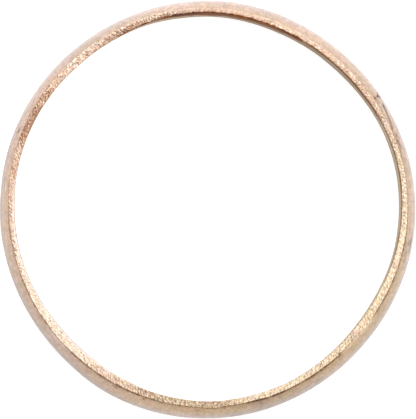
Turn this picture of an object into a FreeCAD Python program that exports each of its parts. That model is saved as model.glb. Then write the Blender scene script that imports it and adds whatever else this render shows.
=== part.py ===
import FreeCAD, Part
import math
import os

# Plain finger ring: one D-section strip of gilt copper alloy, bent round into
# a closed hoop and hard-soldered along one slanting (scarf) joint.
#
# Frame: millimetres. The ring lies flat, its bore axis is +Z. The origin is
# the centre of the bore at half the band's width, +X is to the right and +Y
# up when the ring is seen from above. Angles run counter-clockwise from +X.

# ----------------------------------------------------------------------------
# Driving dimensions
# ----------------------------------------------------------------------------
BORE_R = 9.90          # radius of the finger hole
BAND_WIDTH = 3.00      # from rim to rim, along the bore axis
BORE_BEVEL = 0.05      # broken edge between the bore and each flat rim

RIM_R = 10.255         # mean radius where a flat rim meets the dome
CREST_R = 10.705       # mean radius of the dome's crest, at half width
DOME_POWER = 2.3       # 2 is a parabola; more is a fuller, flatter-topped dome

# The strip is hand drawn and hand filed, so it isn't round or even: each line
# round the ring is its mean radius plus waves (waves per turn, height, angle).
RIM_WAVES = ((1, 0.070, 238.0), (2, 0.008, 317.0), (3, 0.043, 30.0), (4, 0.040, 7.0))
CREST_WAVES = ((1, 0.103, 273.0), (2, 0.032, 184.0), (3, 0.031, 31.0), (4, 0.032, 342.0))

SECTIONS = (-1.0, -0.74, -0.40, 0.0, 0.40, 0.74, 1.0)   # in half widths
POINTS_PER_TURN = 60

# The joint: a film of solder between the strip's two lapped, filed ends. Seen
# from above it runs slantwise through the band. Both ends of the strip are
# left blunt, not feathered, so the film turns square to the surface at the
# bore (first points) and at the dome (last points).
SEAM_THICKNESS = 0.05
SEAM_PATH = (          # (angle in degrees, radius)
    (12.70, 9.68),
    (12.95, 9.87),
    (13.70, 9.955),
    (15.60, 10.04),
    (18.20, 10.135),
    (20.80, 10.222),
    (23.03, 10.290),
    (25.17, 10.343),
    (27.21, 10.396),
    (29.24, 10.438),
    (31.20, 10.482),
    (32.35, 10.535),
    (32.85, 10.635),
    (33.02, 10.95),
)

HALF = BAND_WIDTH / 2.0


# ----------------------------------------------------------------------------
# Helpers
# ----------------------------------------------------------------------------
def waved(mean, waves, deg):
    """Mean radius plus the hand-made unevenness at an angle."""
    r = mean
    for count, height, phase in waves:
        r += height * math.cos(math.radians(count * deg - phase))
    return r


def rim_radius(deg):
    return waved(RIM_R, RIM_WAVES, deg)


def crest_radius(deg):
    return waved(CREST_R, CREST_WAVES, deg)


def dome_radius(deg, u):
    """Radius of the outer surface at an angle, u from -1 to 1 across the band."""
    fill = 1.0 - abs(u) ** DOME_POWER
    r0 = rim_radius(deg)
    return r0 + (crest_radius(deg) - r0) * fill


def polar(deg, r, z=0.0):
    a = math.radians(deg)
    return FreeCAD.Vector(r * math.cos(a), r * math.sin(a), z)


def closed_line(u):
    """One closed, smooth line round the outer surface at a level u."""
    pts = [polar(i * 360.0 / POINTS_PER_TURN,
                 dome_radius(i * 360.0 / POINTS_PER_TURN, u), u * HALF)
           for i in range(POINTS_PER_TURN)]
    curve = Part.BSplineCurve()
    curve.interpolate(Points=pts, PeriodicFlag=True)
    return Part.Wire([curve.toShape()])


def one_solid(shape, name):
    """The only solid of a result, checked."""
    solids = shape.Solids
    if len(solids) != 1:
        raise RuntimeError("%s came out as %d solids" % (name, len(solids)))
    solid = solids[0]
    if not solid.isValid():
        raise RuntimeError("%s isn't a valid solid" % name)
    return solid


# ----------------------------------------------------------------------------
# The whole hoop, before it is divided at the joint
# ----------------------------------------------------------------------------
# Outer form: the dome lofted through closed lines, with both flat rims.
blank = Part.makeLoft([closed_line(u) for u in SECTIONS], True, False)

# Finger hole: a true cylinder, with a small cone at each end for the bevel.
drill = Part.makeCylinder(BORE_R, BAND_WIDTH + 2.0, FreeCAD.Vector(0, 0, -HALF - 1.0))
reach = 0.5
for side in (1, -1):
    z0 = side * (HALF - BORE_BEVEL)
    cone = Part.makeCone(BORE_R, BORE_R + BORE_BEVEL + reach, BORE_BEVEL + reach,
                         FreeCAD.Vector(0, 0, z0), FreeCAD.Vector(0, 0, side))
    drill = drill.fuse(cone)
hoop = one_solid(blank.cut(drill), "hoop")


# ----------------------------------------------------------------------------
# The scarf joint's solder film
# ----------------------------------------------------------------------------
middle = Part.BSplineCurve()
middle.interpolate(Points=[polar(a, r, -HALF - 0.5) for a, r in SEAM_PATH])


def side_line(offset):
    """The middle line moved sideways, as a smooth curve of its own."""
    n = 60
    first, last = middle.FirstParameter, middle.LastParameter
    pts = []
    for i in range(n + 1):
        t = first + (last - first) * i / n
        p = middle.value(t)
        d = middle.tangent(t)[0]
        pts.append(FreeCAD.Vector(p.x - d.y * offset, p.y + d.x * offset, p.z))
    curve = Part.BSplineCurve()
    curve.interpolate(Points=pts)
    return curve, pts[0], pts[-1]


left, l0, l1 = side_line(SEAM_THICKNESS / 2.0)
right, r0, r1 = side_line(-SEAM_THICKNESS / 2.0)
outline = Part.Wire([left.toShape(), Part.LineSegment(l1, r1).toShape(),
                     right.toShape(), Part.LineSegment(r0, l0).toShape()])
slab = Part.Face(outline).extrude(FreeCAD.Vector(0, 0, BAND_WIDTH + 1.0))

solder_seam = one_solid(hoop.common(slab), "solder_seam")
ring_band = one_solid(hoop.cut(slab), "ring_band")


# ----------------------------------------------------------------------------
# Write each piece
# ----------------------------------------------------------------------------
nodes = {
    "ring_band": ring_band,
    "solder_seam": solder_seam,
}

os.makedirs("parts", exist_ok=True)
for name, shape in nodes.items():
    shape.exportStep("parts/%s.step" % name)
    box = shape.BoundBox
    print("%-12s volume %8.3f mm3  box x %.3f..%.3f y %.3f..%.3f z %.3f..%.3f  faces %d"
          % (name, shape.Volume, box.XMin, box.XMax, box.YMin, box.YMax,
             box.ZMin, box.ZMax, len(shape.Faces)))
whole = hoop.Volume
parts = sum(s.Volume for s in nodes.values())
print("hoop %.4f mm3, pieces together %.4f mm3" % (whole, parts))
thick = [crest_radius(a) - BORE_R for a in range(0, 360, 5)]
rims = [rim_radius(a) - BORE_R for a in range(0, 360, 5)]
print("radial thickness %.3f to %.3f mm, flat rim %.3f to %.3f mm"
      % (min(thick), max(thick), min(rims), max(rims)))
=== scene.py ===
import math

import bmesh
import bpy
import numpy as np
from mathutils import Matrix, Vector
from mathutils.geometry import delaunay_2d_cdt


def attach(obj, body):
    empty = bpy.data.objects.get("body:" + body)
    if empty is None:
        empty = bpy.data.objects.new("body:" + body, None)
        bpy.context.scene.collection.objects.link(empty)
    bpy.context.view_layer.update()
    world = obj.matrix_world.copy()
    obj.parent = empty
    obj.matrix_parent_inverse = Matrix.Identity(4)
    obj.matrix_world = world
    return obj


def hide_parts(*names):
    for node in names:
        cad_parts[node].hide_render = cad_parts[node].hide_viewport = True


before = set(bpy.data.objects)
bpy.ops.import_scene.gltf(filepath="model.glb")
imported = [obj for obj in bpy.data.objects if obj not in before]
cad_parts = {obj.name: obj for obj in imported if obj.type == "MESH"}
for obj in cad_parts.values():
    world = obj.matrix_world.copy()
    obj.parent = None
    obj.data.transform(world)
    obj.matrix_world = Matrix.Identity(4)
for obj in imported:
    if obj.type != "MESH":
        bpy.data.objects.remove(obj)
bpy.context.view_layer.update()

# A plain finger ring: one D-section strip of worn, gilt copper alloy, bent
# round and hard-soldered at a slanting joint. Lengths below are millimetres
# and angles degrees, counter-clockwise from +X seen from +Z; meshes are made
# in metres at the very end. The two pieces keep the CAD's frame and places.

MM = 0.001
TAU = 2.0 * math.pi

# ---------------------------------------------------------------------------
# Lines round the ring
# ---------------------------------------------------------------------------
BORE_R, RIM_R, CREST_R, HALF = 9.90, 10.255, 10.705, 1.50
DOME_POWER = 2.3
BORE_WAVES = ((2, 0.010, 110.0), (3, 0.034, 72.0), (4, 0.083, 11.0), (5, 0.018, 40.0), (6, 0.006, 190.0), (7, 0.012, 325.0))
RIM_WAVES = ((1, 0.070, 238.0), (2, 0.008, 317.0), (3, 0.043, 30.0), (4, 0.040, 7.0), (5, 0.007, 47.0), (6, 0.007, 182.0), (7, 0.005, 281.0))
CREST_WAVES = ((1, 0.081, 278.3), (2, 0.032, 184.0), (3, 0.031, 31.0), (4, 0.032, 342.0), (5, 0.003, 68.0), (6, 0.004, 84.0), (7, 0.0085, 259.0))

SEAM_THICKNESS = 0.05
SEAM_PATH = ((12.70, 9.68), (12.95, 9.87), (13.70, 9.955), (15.60, 10.04), (18.20, 10.135), (20.80, 10.222),
             (23.03, 10.290), (25.17, 10.343), (27.21, 10.396), (29.24, 10.438), (31.20, 10.482), (32.35, 10.535),
             (32.85, 10.635), (33.02, 10.95))

COLUMNS = 1890
TURN = TAU * 10.1        # length of one turn, for the relief's scale


def waved(mean, waves, deg):
    r = np.full(np.shape(deg), mean, float)
    for n, amp, phase in waves:
        r += amp * np.cos(np.radians(n * deg - phase))
    return r


def smooth(x, lo, hi):
    t = np.clip((x - lo) / (hi - lo), 0.0, 1.0)
    return t * t * (3.0 - 2.0 * t)


def apart(deg, centre):
    """Signed angle from centre, -180 to 180."""
    return (deg - centre + 180.0) % 360.0 - 180.0


def bump_at(deg, centre, width):
    return np.exp(-0.5 * (apart(deg, centre) / width) ** 2)


def stretch(deg, start, end, soft):
    """1 from start to end, fading over soft degrees at each side."""
    mid, half = (start + end) / 2.0, (end - start) / 2.0
    return 1.0 - smooth(np.abs(apart(deg, mid)), half - soft / 2.0, half + soft / 2.0)


# ---------------------------------------------------------------------------
# Seeded relief fields, periodic round the ring
# ---------------------------------------------------------------------------
class Field:
    """Random relief over the circumference by span, mean 0 and deviation 1.
    along and across are its grain's lengths in mm, slant the angle of the long
    way from the tangent, drop takes out anything much longer than it."""

    def __init__(self, seed, along, across, slant=0.0, drop=0.0, span=1.28, ns=4096, ny=80):
        self.span, self.ns, self.ny = span, ns, ny
        noise = np.random.default_rng(seed).standard_normal((ns, ny))
        ks = np.fft.fftfreq(ns, TURN / ns)[:, None] * TAU
        ky = np.fft.fftfreq(ny, span / ny)[None, :] * TAU
        c, s = math.cos(math.radians(slant)), math.sin(math.radians(slant))
        ka, kb = ks * c + ky * s, -ks * s + ky * c
        shape = np.exp(-0.5 * ((ka * along) ** 2 + (kb * across) ** 2))
        if drop:
            shape = shape * (1.0 - np.exp(-0.5 * (ks ** 2 + ky ** 2) * drop ** 2))
        f = np.fft.ifft2(np.fft.fft2(noise) * shape).real
        f -= f.mean()
        self.f = f / f.std()

    def __call__(self, deg, y):
        a = (np.asarray(deg) / 360.0 % 1.0) * self.ns
        b = (np.asarray(y) / self.span % 1.0) * self.ny
        a, b = np.broadcast_arrays(a, b)
        i, j = np.floor(a).astype(int), np.floor(b).astype(int)
        u, v = a - i, b - j
        i0, i1, j0, j1 = i % self.ns, (i + 1) % self.ns, j % self.ny, (j + 1) % self.ny
        return (self.f[i0, j0] * (1 - u) * (1 - v) + self.f[i1, j0] * u * (1 - v)
                + self.f[i0, j1] * (1 - u) * v + self.f[i1, j1] * u * v)


strokes = Field(11, 0.060, 0.016, slant=-46.0, drop=0.09)       # file marks, leaning one way
strokes2 = Field(21, 0.055, 0.016, slant=52.0, drop=0.09)       # and the other
grains = Field(12, 0.018, 0.018, drop=0.07)                     # torn, granular metal
lumps = Field(13, 0.10, 0.05, slant=-30.0, drop=0.4)
strokes_back = Field(14, 0.09, 0.026, slant=35.0, drop=0.16)
grains_back = Field(15, 0.036, 0.036, drop=0.12)
sway = Field(16, 0.55, 0.55, span=5.12, ny=96)                  # hand-worked unevenness
dents = Field(17, 0.20, 0.14, drop=1.2, span=5.12, ny=192)
jag = Field(18, 0.040, 0.5, drop=0.4)
drift = Field(19, 1.6, 1.6, span=5.12, ny=48)
patches = Field(20, 0.16, 0.10, drop=1.0)

# ---------------------------------------------------------------------------
# The grid of points: COLUMNS round the ring by ROWS round the D-section
# ---------------------------------------------------------------------------
deg = np.arange(COLUMNS) * 360.0 / COLUMNS
Rb = (waved(BORE_R, BORE_WAVES, deg) - 0.030 * bump_at(deg, 358.0, 9.0) - 0.026 * stretch(deg, 203.0, 246.0, 14.0)
      + 0.018 * stretch(deg, 312.0, 348.0, 12.0) - 0.020 * stretch(deg, 31.0, 53.0, 10.0) - 0.024 * bump_at(deg, 78.0, 7.0) - 0.010 * bump_at(deg, 65.0, 5.0)
      - 0.016 * bump_at(deg, 2.0, 5.0))
Rr = waved(RIM_R, RIM_WAVES, deg)
Rc = (waved(CREST_R, CREST_WAVES, deg) - 0.018 * bump_at(deg, 225.0, 9.0) + 0.018 * stretch(deg, 145.0, 170.0, 12.0)
      + 0.018 * bump_at(deg, 240.0, 7.0) + 0.010 * bump_at(deg, 210.0, 6.0) + 0.012 * bump_at(deg, 105.0, 6.0)
      + 0.010 * stretch(deg, 280.0, 450.0, 20.0))
# the near edge of the bore has a small step at the bottom
Rb = Rb - 0.018 * stretch(deg, 275.5, 292.0, 1.6)
# towards the back the hole opens a little at the upper left
Rb_back = (Rb + 0.045 * bump_at(deg, 31.0, 8.0) + 0.020 * bump_at(deg, 48.0, 8.0) + 0.115 * stretch(deg, 103.0, 152.0, 20.0)
           - 0.034 * bump_at(deg, 112.0, 9.0) - 0.022 * bump_at(deg, 95.0, 8.0))

# the file has cut the rim a little further in at the left and the bottom
Rr = Rr - (0.042 * stretch(deg, 176.5, 268.0, 7.0) + 0.062 * stretch(deg, 275.0, 286.5, 4.0)
           + 0.016 * stretch(deg, 287.0, 312.0, 4.0) + 0.045 * stretch(deg, 312.0, 321.0, 3.0) + 0.014 * bump_at(deg, 357.0, 5.0)
           - 0.014 * stretch(deg, 219.0, 239.0, 8.0))

# widths of the worn edges
worn = stretch(deg, 312.5, 326.0, 4.0)
merged = stretch(deg, 56.0, 101.0, 14.0)                # rim and dome run into each other
crisp = stretch(deg, 196.0, 312.0, 14.0)
ragged = stretch(deg, 138.0, 200.0, 14.0)
edge_round = np.maximum(0.028 - 0.016 * worn + 0.030 * merged - 0.010 * crisp * (1 - worn) + 0.004 * (1 - 0.7 * worn) * jag(deg, 0.3), 0.009)
edge_jag = (0.003 + 0.010 * ragged) * jag(deg, 0.15)     # the edge itself is uneven, the dome below it isn't
Re = Rr + edge_jag
wide_bevel = stretch(deg, 58.0, 104.0, 12.0)
soft_in = stretch(deg, 170.0, 246.0, 14.0)
bevel_w = 0.028 + 0.006 * wide_bevel + 0.018 * soft_in + (0.005 + 0.003 * wide_bevel) * jag(deg, 0.9)
bevel_w = np.clip(bevel_w, 0.014, 0.2)
bevel_h = 0.036 + 0.010 * wide_bevel
bevel_b = 0.055 + 0.006 * jag(deg, 0.1)


def dome(u):
    fill = 1.0 - np.abs(u) ** DOME_POWER
    return Rr + (Rc - Rr) * fill


rows_r, rows_z, rows_kind = [], [], []


def add_row(r, z, kind):
    rows_r.append(np.broadcast_to(r, deg.shape).astype(float))
    rows_z.append(np.broadcast_to(z, deg.shape).astype(float))
    rows_kind.append(kind)


def bezier(p0, p1, p2, t):
    a, b, c = (1 - t) ** 2, 2 * t * (1 - t), t * t
    return a * p0[0] + b * p1[0] + c * p2[0], a * p0[1] + b * p1[1] + c * p2[1]


# bore, from the back to the front
for t in (0.0, 0.24, 0.48, 0.69, 0.86, 1.0):
    add_row(Rb_back * (1 - t) + Rb * t, (-HALF + bevel_b) * (1 - t) + (HALF - bevel_h) * t, "bore")
# front inner edge
for t in (1 / 3, 2 / 3, 1.0):
    r, z = bezier((Rb, HALF - bevel_h), (Rb + 0.30 * bevel_w, HALF - 0.22 * bevel_h), (Rb + bevel_w, HALF), t)
    add_row(r, z, "front_bevel")
# front rim
for k in range(1, 13):
    t = k / 12.0
    add_row((Rb + bevel_w) * (1 - t) + (Re - edge_round) * t, HALF, "front_rim")
# front edge between rim and dome
u_e = 1.0 - 0.82 * edge_round / HALF
for t in (1 / 3, 2 / 3, 1.0):
    r, z = bezier((Re - edge_round, HALF), (Re, HALF), (dome(u_e) + 0.8 * edge_jag, HALF * u_e), t)
    add_row(r, z, "front_edge")
add_row(dome(0.945) + 0.15 * edge_jag, HALF * 0.945, "front_edge")
# dome
for u in (0.90, 0.852, 0.80, 0.746, 0.69, 0.63, 0.565, 0.49, 0.395, 0.27, 0.135, 0.0, -0.16, -0.33, -0.50, -0.67, -0.82, -0.93):
    add_row(dome(u), HALF * u, "dome")
# back edge, rim and inner edge
ub = 0.975
add_row(dome(ub), -HALF * ub, "back_edge")
add_row(Rr - 0.004, -HALF + 0.006, "back_edge")
for k in range(0, 6):
    t = k / 5.0
    add_row((Rr - 0.035) * (1 - t) + (Rb_back + bevel_b) * t, -HALF, "back_rim")
add_row(Rb_back + 0.30 * bevel_b, -HALF + 0.28 * bevel_b, "back_bevel")

ROWS = len(rows_r)
R0 = np.array(rows_r).T           # COLUMNS x ROWS
Z0 = np.array(rows_z).T
D0 = np.repeat(deg[:, None], ROWS, 1)
kind = np.array(rows_kind)

# normals of the section, in the (r, z) plane
dR = np.roll(R0, -1, 1) - np.roll(R0, 1, 1)
dZ = np.roll(Z0, -1, 1) - np.roll(Z0, 1, 1)
L = np.hypot(dR, dZ)
NR, NZ = -dZ / L, dR / L

# distance round the section from the bore's back edge
step = np.hypot(np.roll(R0, -1, 1) - R0, np.roll(Z0, -1, 1) - Z0)
V0 = np.concatenate([np.zeros((COLUMNS, 1)), np.cumsum(step, 1)], 1)   # one more than ROWS

# ---------------------------------------------------------------------------
# Masks
# ---------------------------------------------------------------------------
bz = np.nonzero(kind == "front_bevel")[0]
rz = np.nonzero(kind == "front_rim")[0]
ez = np.nonzero(kind == "front_edge")[0]
dz = np.nonzero(kind == "dome")[0]
m_rim = np.zeros_like(R0)
m_rim[:, rz] = 1.0
m_rim[:, bz] = np.array([0.30, 0.7, 1.0])
m_rim[:, ez] = np.stack([0.85 + 0 * deg, 0.45 + 0.4 * worn, 0.12 + 0.58 * worn, 0.48 * worn], 1)
m_rim[:, dz[0]] = 0.32 * worn
m_rim[:, dz[1]] = 0.16 * worn
m_back = np.isin(kind, ("back_rim",)).astype(float)[None, :] * np.ones_like(R0)
m_bore = np.isin(kind, ("bore",)).astype(float)[None, :] * np.ones_like(R0)
m_bore[:, bz] = np.array([0.60, 0.25, 0.0])[None, :] * (1.0 - soft_in)[:, None]
m_bore[:, kind == "back_bevel"] = 0.6
m_dome = np.isin(kind, ("dome", "front_edge", "back_edge")).astype(float)[None, :] * np.ones_like(R0)
top_side = (Z0 > -0.2).astype(float)
across_rim = np.clip((R0 - (Rb + bevel_w)[:, None]) / (Re - edge_round - Rb - bevel_w)[:, None], 0, 1)   # 0 at the bore, 1 at the dome


def spot(at, radius, wide, high):
    """A soft oval mark: angle and radius of its middle in plan, half sizes in degrees and mm."""
    return np.exp(-0.5 * (apart(D0, at) / wide) ** 2 - 0.5 * ((R0 - radius) / high) ** 2)


# ---------------------------------------------------------------------------
# Relief
# ---------------------------------------------------------------------------
y = R0 - 9.6
lean = (stretch(deg, 104, 136, 12) + stretch(deg, 236, 264, 12))[:, None]
coarse = 0.85 + 0.30 * stretch(deg, 98, 164, 16) + 0.35 * stretch(deg, 248, 277, 12) + 0.25 * stretch(deg, 23, 29, 2) - 0.10 * stretch(deg, 280, 312, 16)
file_marks = strokes(D0, y) * (1 - lean) + strokes2(D0, y) * lean
g = 0.62 * file_marks + 0.62 * grains(D0, y) + 0.13 * lumps(D0, y)
g_back = 0.6 * strokes_back(D0, y) + 0.5 * grains_back(D0, y) + 0.25 * lumps(D0 + 140, y)
relief = np.zeros_like(R0)
relief += m_rim * 0.0066 * coarse[:, None] * g
relief += m_back * 0.0055 * g_back
relief += m_dome * (0.0030 * sway(D0, V0[:, :-1]) + 0.0012 * dents(D0, V0[:, :-1]))
relief += m_bore * (0.0030 * sway(D0 + 90, V0[:, :-1]) + 0.0018 * dents(D0 + 50, V0[:, :-1]))
# a curled burr on the rim beside the joint
curl = np.hypot(apart(D0, 27.95) * math.radians(10.1), R0 - 10.10)
relief += m_rim * 0.011 * np.exp(-0.5 * ((curl - 0.095) / 0.022) ** 2)

# the fine step between the filed rim and the dome
line = (0.06 * stretch(deg, 146, 166, 8) + 0.14 * stretch(deg, 166, 182, 6) + 0.42 * stretch(deg, 182, 200, 8)
        + 0.56 * stretch(deg, 200, 217.5, 5) + 0.12 * stretch(deg, 217.5, 227.0, 2) + 0.66 * stretch(deg, 227.0, 254, 3)
        + 0.38 * stretch(deg, 254, 281, 5) + 1.0 * stretch(deg, 281, 293.2, 2)
        + 0.62 * stretch(deg, 293.2, 299, 2) + 1.10 * stretch(deg, 299, 304.5, 2) + 0.85 * stretch(deg, 304.5, 310.8, 1.5)
        + 0.36 * stretch(deg, 327, 347, 5) + 0.26 * stretch(deg, 347, 359, 4))
line = line + 0.30 * bump_at(deg, 228.4, 1.2) + 0.25 * bump_at(deg, 244.5, 2.0) + 0.30 * bump_at(deg, 348, 1.5)
line = np.clip(line * (1.0 + 0.30 * jag(deg, 0.6)), 0, 1.2) * (1 - stretch(deg, 311.5, 327.0, 2.0))
m_line = np.zeros_like(R0)
m_line[:, ez[0]] = 0.60
m_line[:, ez[1]] = 1.0
m_line[:, ez[2]] = 0.72
m_line[:, ez[3]] = 0.14
m_line[:, rz[-1]] = 0.15
m_line = m_line * line[:, None]
relief -= 0.012 * m_line

# where each grid point lies, in plan
RR = R0 + NR * relief
ZZ = np.minimum(Z0 + NZ * relief, HALF + 0.014)
ZZ = np.maximum(ZZ, -HALF)

# ---------------------------------------------------------------------------
# The joint: distance to its middle line, in plan
# ---------------------------------------------------------------------------
def curve_through(points, n=24):
    """A smooth curve through plan points given as (angle, radius)."""
    p = np.array([(r * math.cos(math.radians(a)), r * math.sin(math.radians(a))) for a, r in points])
    p = np.vstack([2 * p[0] - p[1], p, 2 * p[-1] - p[-2]])
    out = []
    for i in range(1, len(p) - 2):
        d0 = np.linalg.norm(p[i] - p[i - 1]) ** 0.5
        d1 = np.linalg.norm(p[i + 1] - p[i]) ** 0.5
        d2 = np.linalg.norm(p[i + 2] - p[i + 1]) ** 0.5
        t0, t1, t2, t3 = 0.0, d0, d0 + d1, d0 + d1 + d2
        for t in np.linspace(t1, t2, n, endpoint=False):
            a1 = (t1 - t) / (t1 - t0) * p[i - 1] + (t - t0) / (t1 - t0) * p[i]
            a2 = (t2 - t) / (t2 - t1) * p[i] + (t - t1) / (t2 - t1) * p[i + 1]
            a3 = (t3 - t) / (t3 - t2) * p[i + 1] + (t - t2) / (t3 - t2) * p[i + 2]
            b1 = (t2 - t) / (t2 - t0) * a1 + (t - t0) / (t2 - t0) * a2
            b2 = (t3 - t) / (t3 - t1) * a2 + (t - t1) / (t3 - t1) * a3
            out.append((t2 - t) / (t2 - t1) * b1 + (t - t1) / (t2 - t1) * b2)
    out.append(p[-2])
    return np.array(out)


seam = curve_through(SEAM_PATH)
seam_dir = np.diff(seam, axis=0)
seam_len = np.linalg.norm(seam_dir, axis=1)
seam_at = np.concatenate([[0], np.cumsum(seam_len)])
seam_unit = seam_dir / seam_len[:, None]


def to_seam(x, y_):
    """Signed distance to the joint's middle line (left of it positive), and the length along it."""
    q = np.stack([x, y_], -1)[..., None, :] - seam[:-1]
    t = np.clip((q * seam_unit).sum(-1), 0, seam_len)
    off = q - t[..., None] * seam_unit
    d2 = (off ** 2).sum(-1)
    k = d2.argmin(-1)
    d = np.sqrt(np.take_along_axis(d2, k[..., None], -1)[..., 0])
    qk = np.take_along_axis(q, k[..., None, None], -2)[..., 0, :]
    u = seam_unit[k]
    side = np.sign(u[..., 0] * qk[..., 1] - u[..., 1] * qk[..., 0])
    tk = np.take_along_axis(t, k[..., None], -1)[..., 0]
    return d * np.where(side == 0, 1, side), seam_at[k] + tk


C0, C1 = int(8.0 / 360 * COLUMNS), int(39.0 / 360 * COLUMNS)   # the columns near the joint
near = np.arange(C0, C1 + 1)
cosd, sind = np.cos(np.radians(D0)), np.sin(np.radians(D0))
dist = np.full(R0.shape, 9.0)
along = np.zeros(R0.shape)
dist[near], along[near] = to_seam(RR[near] * cosd[near], RR[near] * sind[near])

# the solder lies a little low on the dome, and the outer lip is a notch that
# opens towards the outline in two short horns
on_dome = m_dome
shown = m_dome * top_side
seam_shown = (0.60 + 0.40 * smooth(D0, 26.6, 28.2)) * smooth(D0, 22.5, 23.3) * (1 - smooth(D0, 30.2, 30.9))    # the joint shows best towards its outer end
trace = seam_shown * np.exp(-0.5 * (dist / 0.019) ** 2)
# a painted shadow beside the joint's line, and a painted pale streak on its other side (lip)
seam_shadow = np.exp(-0.5 * ((dist + 0.030) / 0.040) ** 2) * stretch(D0, 22.8, 26.6, 1.6)
lip = np.exp(-0.5 * ((dist - 0.075) / 0.035) ** 2) * stretch(D0, 24.4, 30.6, 1.4)
fork = 0.66 * smooth(R0, 10.47, 10.55)
stem = np.exp(-0.5 * ((np.abs(apart(D0, 33.16 + 0.6 * (R0 - 10.5))) - fork) / 0.20) ** 2)
notch = stem * smooth(R0, 10.375, 10.42) * (1.0 - 0.30 * smooth(R0, 10.50, 10.57)) * smooth(Z0, 0.30, 0.66)
web = np.exp(-0.5 * (apart(D0, 33.16) / 0.36) ** 2) * smooth(R0, 10.44, 10.49) * (1 - smooth(R0, 10.52, 10.60))
notch_low = np.exp(-0.5 * (apart(D0, 33.06) / 0.40) ** 2) * smooth(R0, 10.210, 10.250) * (1 - smooth(R0, 10.295, 10.355))
pit = spot(158.24, 10.478, 0.50, 0.030)
tick = (np.exp(-0.5 * (apart(D0, 276.9) / 0.50) ** 2) + 0.6 * np.exp(-0.5 * (apart(D0, 278.4) / 0.32) ** 2)) * np.exp(-0.5 * ((Z0 - 0.10) / 0.22) ** 2)
patch_core = spot(284.96, 10.43, 0.24, 0.080)
dip = (0.014 * trace + 0.050 * notch + 0.020 * notch_low + 0.014 * pit + 0.012 * patch_core) * shown + 0.016 * tick * on_dome
RR = RR - NR * dip
ZZ = ZZ - NZ * dip

# ---------------------------------------------------------------------------
# Finish masks, one value a point
# ---------------------------------------------------------------------------
low = np.clip(-g * 0.55, 0, 1.3)
low_back = np.clip(-g_back * 0.5, 0, 1.2)
pit_amount = (0.62 + 0.45 * stretch(deg, 100, 162, 14) + 0.25 * stretch(deg, 98, 120, 6) + 0.35 * stretch(deg, 247, 277, 10)
              + 0.25 * stretch(deg, 23, 29, 2) - 0.25 * stretch(deg, 203, 236, 12) - 0.30 * stretch(deg, 141, 149, 4))[:, None]
att = {}
att["a_rim"] = (m_rim + m_back) * (1 - 0.65 * merged[:, None] * smooth(across_rim, 0.30, 1.0))
att["a_bore"] = m_bore
# at the left the edge is torn into a comb of short dark strokes
at_comb = stretch(deg, 177.0, 202.0, 5.0)[:, None]
comb = at_comb * smooth(across_rim, 0.45, 0.80) * smooth(-strokes(D0, y), 0.4, 1.2)
# at the upper left patches of it are torn down to brown
brown_patch = ((stretch(deg, 97.0, 121.0, 6.0) + 0.40 * stretch(deg, 39.0, 48.0, 4.0))[:, None] * smooth(lumps(D0 + 77, y), 0.1, 1.0)
               * (1 - 0.7 * smooth(across_rim, 0.5, 0.9)))
calm = 1.0 - 0.65 * at_comb * (1 - smooth(across_rim, 0.35, 0.75))        # the inner half there is smooth
# the grain's low points are painted darker, painted shade in its hollows; the comb and the brown patches are the
# metal's own marks
att["a_pit"] = m_rim * (low * pit_amount * calm + 0.8 * comb + 1.1 * brown_patch) + m_back * low_back
# painted highlights: the grain's raised points are painted lighter, and light catches the edge of the rim at the upper
# left
painted_edge_highlight = stretch(deg, 102.0, 136.0, 6.0)[:, None] * smooth(across_rim, 0.80, 0.93)
att["a_grain_highlight"] = m_rim * np.clip(np.clip(g * 0.6, 0, 1.3) + 0.9 * painted_edge_highlight, 0, 1.2) + m_back * np.clip(g_back * 0.5, 0, 1.2)
att["a_line"] = m_line
# a thin brown line where the bore turns over the rim, and a wide brown band at the top: painted shade on inner faces
# that turn away from the light, partly the metal's own brown
around = stretch(deg, 338.0, 462.0, 14.0)
inner_side = np.clip(m_bore + np.isin(kind, ("front_bevel",))[None, :], 0, 1)
depth = HALF - Z0
reach = 0.42 + 0.36 * stretch(deg, 28, 64, 10)
thin = stretch(deg, 340.0, 420.0, 12.0) * (0.68 + 0.27 * stretch(deg, 4, 16, 5) + 0.30 * stretch(deg, 26, 60, 12))
uneven = dents(D0 + 70, V0[:, :-1])
att["a_thin"] = (inner_side * thin[:, None] * np.clip(1.0 + 0.12 * dents(D0 + 11, V0[:, :-1]), 0, 1.3)
                 * (1 - smooth(depth + 0.10 * uneven, reach[:, None], reach[:, None] + 0.45)))
# the wide band's own edge is made ragged
wander = D0 + (4.5 * sway(D0 + 30, V0[:, :-1]) + 2.0 * uneven) * smooth(depth, 0.05, 0.70)      # its ends wander, below the rim
broken = stretch(deg, 101.0, 120.0, 6.0)[:, None]
taper = 4.0 + 16.0 * smooth(depth, 0.05, 0.85)
past = (apart(wander, 121.0) + 1.3 * taper) / (1.7 * taper)
wide = np.clip(stretch(wander, 60.0, 101.0, 9.0) + 0.60 * smooth(apart(wander, 101.0), -4.5, 4.5) * (1 - smooth(past, 0.0, 1.0)), 0, 1)
wide = np.maximum(wide, stretch(D0, 60.0, 101.0, 6.0) * (1 - smooth(depth, 1.1, 2.1)))
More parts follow.
